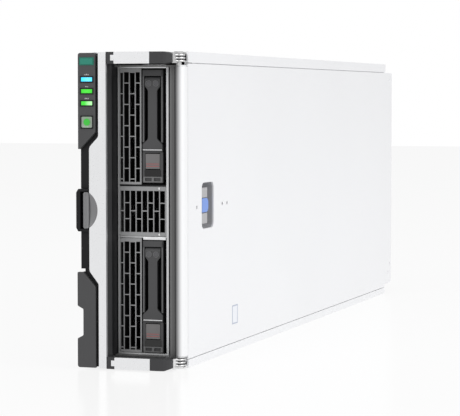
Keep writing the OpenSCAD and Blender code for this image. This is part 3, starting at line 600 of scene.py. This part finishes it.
def disc(x, z, radius, sides=28):
    steps = [2 * math.pi * i / sides for i in range(sides)]
    return [(x + radius * math.cos(t), z + radius * math.sin(t)) for t in steps]


def solid(name, outlines, y0, y1, finish, body, soft=0.0):
    """One piece from any number of outlines of the same depth."""
    shape = bmesh.new()
    for outline in outlines:
        add_prism(shape, outline, y0, y1)
    return settle(name, closed_mesh(name, shape), finish, body, soft)


def ring_of(outer, inner, y0, y1, name, finish, body):
    """A closed frame between two outlines with the same number of points."""
    shape = bmesh.new()
    loops = [
        [shape.verts.new(at(x, y, z)) for x, z in outline]
        for outline, y in ((outer, y0), (inner, y0), (inner, y1), (outer, y1))
    ]
    count = len(outer)
    for i in range(count):
        j = (i + 1) % count
        for a, b in ((0, 1), (1, 2), (2, 3), (3, 0)):
            shape.faces.new((loops[a][i], loops[a][j], loops[b][j], loops[b][i]))
    return settle(name, closed_mesh(name, shape), finish, body)


print("small solids ready, bench corner at", [round(c, 4) for c in at(0, 0, 0)])

# %% [markdown]
# ## Surrounds of the lamps and the button
# Each window in the status panel has a black seal round it, which keeps the light of one lamp
# out of the next. A seal is a thin closed frame that stands slightly proud of the panel. The
# round spot on the power button is a clear insert, lit from behind.

# %% Surrounds of the lamps and the button
WINDOW_X = (1.9, 10.7)
WINDOWS = {"identify": (195.3, 198.8), "health": (187.4, 190.8), "network": (179.2, 182.6)}
BUTTON_X, BUTTON_Z = (2.5, 10.1), (164.4, 171.8)
SEAL_FRONT, SEAL_BACK = -0.36, 0.2
SPOT_RADIUS = 2.3


def seal(name, x, z, width, cover=0.35):
    """A black frame that laps over the edge of a window by cover."""
    inner = rectangle(x[0] + cover, z[0] + cover, x[1] - cover, z[1] - cover)
    outer = rectangle(x[0] - width, z[0] - width, x[1] + width, z[1] + width)
    return ring_of(outer, inner, SEAL_FRONT, SEAL_BACK, name, "black_plastic",
                   "chassis")


for name, z in WINDOWS.items():
    seal(name + "_seal", WINDOW_X, z, 0.45)
seal("power_seal", BUTTON_X, BUTTON_Z, 0.75, -0.25)
centre_x, centre_z = sum(BUTTON_X) / 2, sum(BUTTON_Z) / 2
moulded("lit_spot", (0.03, 0.36, 0.03), 0.4, 0.4)
look["lit_spot"].set("Emission Color", (0.05, 0.6, 0.05, 1.0)).set("Emission Strength", 0.22)
button_face = (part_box("power_button")[0][1] / MM) - BENCH.y
solid("power_spot", [disc(centre_x, centre_z, SPOT_RADIUS)], button_face - 0.12, button_face + 0.3,
      "lit_spot", "power_button", 0.05)
badge = rectangle(1.6, 207.4, 10.6, 211.2)
moulded("badge_inlay", (0.012, 0.2, 0.14), 0.4, 0.4)
solid("badge_inlay", [badge], -0.42, 0.0, "badge_inlay", "chassis", 0.1)
print(len(WINDOWS) + 1, "seals, one lit spot, one plain badge inlay")

# %% [markdown]
# ## Marks above the lamps
# A row of tiny pale marks above each lamp says what it shows. They are pad printed, so each is
# only a film on the panel. Here they are plain bars and dots, which stand for no maker's
# symbols.

# %% Marks above the lamps
moulded("pale_print", (0.42, 0.42, 0.43), 0.5, 0.3)
MARKS = {
    "identify": [(5.0, 0.9, 0.5), (6.2, 0.9, 0.9), (7.4, 0.9, 0.5)],
    "health": [(5.6, 0.9, 0.6), (6.8, 1.2, 0.4)],
    "network": [(5.2, 0.7, 0.8), (6.3, 0.7, 0.8), (7.4, 0.7, 0.8)],
}
marks = []
for name, bars in MARKS.items():
    base = WINDOWS[name][1] + 1.1
    for x, width, height in bars:
        marks.append(rectangle(x - width / 2, base, x + width / 2, base + height))
solid("lamp_marks", marks, -0.05, 0.1, "pale_print", "chassis")
print(len(marks), "printed bars")

# %% [markdown]
# ## Details of the drive carriers
# Both carriers are the same moulding, so one function dresses each at its own height. On the
# lever's boss sit two round indicator lenses, smoked and unlit. A bright wire marks the lower
# edge of the lever. The release button carries two red stripes, the hot-plug colour. Below it
# are a smoked window and a lighter strip with two lamp windows.

# %% Details of the drive carriers
moulded("smoked_lens", (0.075, 0.075, 0.08), 0.25, 0.5)
moulded("smoked_window", (0.002, 0.002, 0.0022), 0.12, 0.5)
moulded("carrier_strip", (0.15, 0.15, 0.152), 0.45, 0.3)
moulded("hot_plug_red", (0.35, 0.12, 0.12), 0.45, 0.3)
CARRIER_X, CARRIER_Y, CARRIER_W = 38.7, 20.4, 14.8
BAYS = {"lower": 9.9, "upper": 126.6}
LEVER_FOOT, HINGE_UP = 21.3, 69.8
BOSS_APART, LENS_RADIUS, RIM_RADII = 2.6, 1.75, (2.1, 1.8)
ROUND = 24


def dress_carrier(bay, z):
    drive, lever, button = bay + "_drive", bay + "_lever", bay + "_lever_button"
    mid, y = CARRIER_X + CARRIER_W / 2, CARRIER_Y
    boss_z = z + HINGE_UP - 2

    def band(inset, low, high):
        """A rectangle across the carrier, from inset to inset and from low to high."""
        return rectangle(CARRIER_X + inset, z + low, CARRIER_X + CARRIER_W - inset, z + high)

    lenses = [disc(mid + side * BOSS_APART, boss_z, LENS_RADIUS, ROUND) for side in (-1, 1)]
    solid(bay + "_boss_lenses", lenses, y - 0.42, y, "smoked_lens", lever, 0.08)
    for side, place in ((-1, "left"), (1, "right")):
        x = mid + side * BOSS_APART
        outer, inner = (disc(x, boss_z, radius, ROUND) for radius in RIM_RADII)
        ring_of(outer, inner, y - 0.5, y - 0.2, f"{bay}_boss_rim_{place}", "carrier_strip",
                lever)
    wire = band(0.5, LEVER_FOOT + 0.95, LEVER_FOOT + 1.45)
    solid(bay + "_bright_wire", [wire], y - 0.1, y + 0.39, "satin_bar", lever)
    stripes = [band(2.7, up, up + 0.5) for up in (11.05, 12.65)]
    solid(bay + "_release_stripes", stripes, y + 0.3, y + 0.68, "hot_plug_red",
          button)
    window = band(1.6, 4.3, 8.95)
    solid(bay + "_window", [window], y + 0.55, y + 1.7, "smoked_window", drive)
    strip = [band(0.5, 0.5, 1.1), band(0.5, 3.4, 4.1)]
    for x0, x1 in ((0.5, 1.8), (6.6, 8.2), (13.0, 14.3)):
        strip.append(rectangle(CARRIER_X + x0, z + 1.1, CARRIER_X + x1, z + 3.4))
    solid(bay + "_lamp_strip", strip, y + 0.5, y + 1.0, "carrier_strip", drive)
    ribs = [
        rectangle(CARRIER_X + x, z + LEVER_FOOT + 6.5, CARRIER_X + x + 0.5, z + HINGE_UP + 2.6)
        for x in (0.35, CARRIER_W - 0.85)
    ]
    solid(bay + "_edge_ribs", ribs, y + 0.45, y + 1.0, "carrier_strip", drive)
    # A black sheet behind the lever's pocket, where the drive lies in shade: painted shade.
    pocket = band(1.4, LEVER_FOOT + 0.8, HINGE_UP + 3)
    solid(bay + "_drive_shroud", [pocket], y + 6.4, y + 7.2, "black_plastic",
          drive)


for bay, z in BAYS.items():
    dress_carrier(bay, z)
print("carriers dressed at", BAYS)

# %% [markdown]
# ## Bright lips of the cage
# The edge of the sheet above each drive is folded forwards into a lip that shows as a bright
# line. Above the grilles the fold is narrower. Two pressed pins hold the blank in the middle
# bay.

# %% Bright lips of the cage
LIP_FRONT, LIP_BACK = 20.9, 22.0
lips = [
    rectangle(38.9, 204.9, 56.0, 207.0), rectangle(22.0, 205.3, 38.9, 206.3),
    rectangle(38.9, 87.6, 55.4, 89.4),
]
solid("cage_lips", lips, LIP_FRONT, LIP_BACK, "satin_bar", "chassis", 0.15)
# A black strip in the gap above the blank: a painted shadow.
shadow = rectangle(21.6, 124.1, 55.4, 125.3)
solid("bay_shadow_gap", [shadow], 21.9, 22.2, "black_plastic", "chassis")
solid("blank_pins", [disc(50.4, 122.7, 0.75, 16), disc(50.4, 91.1, 0.75, 16)], 21.7, 22.4,
      "bright_steel", "chassis", 0.1)
print(len(lips), "lips and two pins")

# %% [markdown]
# ## Hinges of the handle
# Each end of the handle turns on a knuckle of stacked steel rings, with dark gaps between them.
# Rings are turned parts, so they are made as a profile spun about the hinge pin.

# %% Hinges of the handle
PIVOT = (65.2, 20.4)
SIDES = 40
EDGE = 0.18
RING_INNER, RING_OUTER, RING_TALL = 4.0, 4.52, 1.1
RING_STEPS = (0.1, 2.15, 4.2)
KNUCKLE_FOOT = {"upper": 208.9, "lower": 1.7}


def spun(name, rings, finish, body):
    """Closed rings round the handle's pin, each from (inner, outer, z0, z1)."""
    shape = bmesh.new()
    for inner, outer, z0, z1 in rings:
        profile = [
            (inner, z0), (outer - EDGE, z0), (outer, z0 + EDGE),
            (outer, z1 - EDGE), (outer - EDGE, z1), (inner, z1),
        ]
        loops = []
        for i in range(SIDES):
            turn = 2 * math.pi * i / SIDES
            loops.append([
                shape.verts.new(at(PIVOT[0] + r * math.cos(turn), PIVOT[1] + r * math.sin(turn), z))
                for r, z in profile
            ])
        for i in range(SIDES):
            a, b = loops[i], loops[(i + 1) % SIDES]
            for k in range(len(profile)):
                m = (k + 1) % len(profile)
                shape.faces.new((a[k], b[k], b[m], a[m]))
    mesh = closed_mesh(name, shape)
    mesh.shade_smooth()
    return settle(name, mesh, finish, body)


for end, low in KNUCKLE_FOOT.items():
    feet = [low + step for step in RING_STEPS]
    knuckles = [(RING_INNER, RING_OUTER, foot, foot + RING_TALL) for foot in feet]
    spun(end + "_knuckles", knuckles, "bright_steel", "handle")
print("knuckles at both ends of the handle")

# %% [markdown]
# ## Repeated parts by Geometry Nodes
# Contact blades and rivets repeat on a grid. A node tree places them: a grid of points is stood
# upright, one small shape is put on every point, and the copies are made real, because an
# exporter drops instances. The tree's inputs are named, and are set before the object is first
# evaluated.

# %% Repeated parts by Geometry Nodes
INPUTS = {
    "Columns": "NodeSocketInt", "Rows": "NodeSocketInt", "Span": "NodeSocketVector",
    "Centre": "NodeSocketVector", "Part Size": "NodeSocketVector", "Finish": "NodeSocketMaterial",
}


def grid_tree(name, rounded):
    """Small blocks, or round heads, on an upright grid of points."""
    tree = bpy.data.node_groups.new(name, "GeometryNodeTree")
    for label, kind in INPUTS.items():
        tree.interface.new_socket(label, in_out="INPUT", socket_type=kind)
    tree.interface.new_socket("Geometry", in_out="OUTPUT", socket_type="NodeSocketGeometry")
    graph = Graph(tree)
    given = tree.nodes.new("NodeGroupInput")
    value = {label: Signal(graph, given.outputs[label]) for label in INPUTS}
    parts = {}
    for source in ("Span", "Part Size"):
        for axis in "XYZ":
            split = graph.node("ShaderNodeSeparateXYZ", None, {0: value[source]}, out=axis)
            parts[source, axis] = split
    grid = graph.node("GeometryNodeMeshGrid", None, {
        "Size X": parts["Span", "X"], "Size Y": parts["Span", "Z"],
        "Vertices X": value["Columns"], "Vertices Y": value["Rows"],
    })
    upright = graph.node("GeometryNodeTransform", None, {
        "Geometry": grid, "Rotation": (math.pi / 2, 0, 0), "Translation": value["Centre"],
    })
    if rounded:
        ball = {"Segments": 16, "Rings": 8, "Radius": 0.5}
        head = graph.node("GeometryNodeMeshUVSphere", None, ball)
        sized = {"Geometry": head, "Scale": value["Part Size"]}
        part = graph.node("GeometryNodeTransform", None, sized)
    else:
        part = graph.node("GeometryNodeMeshCube", None, {"Size": value["Part Size"]})
    copies = {"Points": upright, "Instance": part}
    placed = graph.node("GeometryNodeInstanceOnPoints", None, copies)
    real = graph.node("GeometryNodeRealizeInstances", None, {"Geometry": placed})
    coated = {"Geometry": real, "Material": value["Finish"]}
    done = graph.node("GeometryNodeSetMaterial", None, coated)
    tree.links.new(done.socket, tree.nodes.new("NodeGroupOutput").inputs[0])
    return tree


def grow(name, tree, settings, body, finish):
    """Evaluates a tree once and keeps its mesh as a plain piece."""
    carrier = bpy.data.objects.new(name + "_grower", bpy.data.meshes.new(name + "_empty"))
    bpy.context.scene.collection.objects.link(carrier)
    modifier = carrier.modifiers.new("grow", "NODES")
    modifier.node_group = tree
    items = [item for item in tree.interface.items_tree if item.in_out == "INPUT"]
    sockets = {item.name: item.identifier for item in items}
    for label, value in dict(settings, Finish=look[finish].material).items():
        modifier[sockets[label]] = value
    bpy.context.view_layer.update()
    evaluated = carrier.evaluated_get(bpy.context.evaluated_depsgraph_get())
    mesh = bpy.data.meshes.new_from_object(evaluated)
    carrier.modifiers.remove(modifier)
    bpy.data.objects.remove(carrier)
    return settle(name, mesh, finish, body)


def spread(columns, rows, width, height, centre, part):
    return {
        "Columns": columns, "Rows": rows, "Span": Vector((width, 0, height)) * MM,
        "Centre": at(*centre), "Part Size": Vector(part) * MM,
    }


solid_metal("gold_contact", (0.75, 0.5, 0.2), 0.28)
SIGNAL_CONNECTORS = (41, 108, 175)
blades = grid_tree("contact_blades", False)
heads = grid_tree("rivet_heads", True)
for number, z in enumerate(SIGNAL_CONNECTORS, 1):
    setting = spread(4, 8, 19.2, 36.4, (30.0, 598.6, z - 0.4), (0.5, 7.0, 1.7))
    grow(f"signal_contacts_{number}", blades, setting, "chassis", "gold_contact")
grow("power_contacts", blades, spread(2, 4, 4.0, 27.0, (54, 597.4, 40), (2.6, 8.0, 0.9)),
     "chassis", "gold_contact")
rivets = spread(1, 7, 0.0, 186.0, (8.0, 579.3, 108), (3.4, 0.9, 3.4))
grow("rear_rivets", heads, rivets, "chassis", "bright_steel")
print("three signal connectors, one power connector and a row of rear rivets")

# %% [markdown]
# ## The blank label and the seams of the side panel
# A small plain label place sits low on the side panel: a pale film with a thin blue-grey border
# and nothing printed on it. The joint above the panel shows as a dark line where the rail's lip
# starts.

# %% The blank label and the seams of the side panel
SIDE_FACE = 70.0
PRINT_BACK = SIDE_FACE - 0.05
moulded("label_border", (0.42, 0.46, 0.55), 0.5, 0.3)
moulded("label_film", (0.74, 0.76, 0.8), 0.5, 0.3)


def on_side(name, rects, x0, x1, finish, body):
    """Flat rectangles of (y0, z0, y1, z1) on the right-hand side, as thick as x0 to x1."""
    shape = bmesh.new()
    for y0, z0, y1, z1 in rects:
        add_prism(shape, rectangle(x0, z0, x1, z1), y0, y1)
    return settle(name, closed_mesh(name, shape), finish, body)


border = [
    (121.5, 19.5, 134.4, 20.4), (121.5, 32.5, 134.4, 33.4),
    (121.5, 20.4, 122.8, 32.5), (133.1, 20.4, 134.4, 32.5),
]
film = [(122.8, 20.4, 133.1, 32.5)]
seam = [(26.2, 208.0, 33.6, 208.5)]
on_side("label_border", border, PRINT_BACK, SIDE_FACE + 0.06, "label_border",
        "side_panel")
on_side("label_film", film, PRINT_BACK, SIDE_FACE + 0.05, "label_film",
        "side_panel")
on_side("rail_shadow", seam, SIDE_FACE - 0.4, SIDE_FACE + 0.02, "black_plastic",
        "chassis")
print("blank label and one seam")
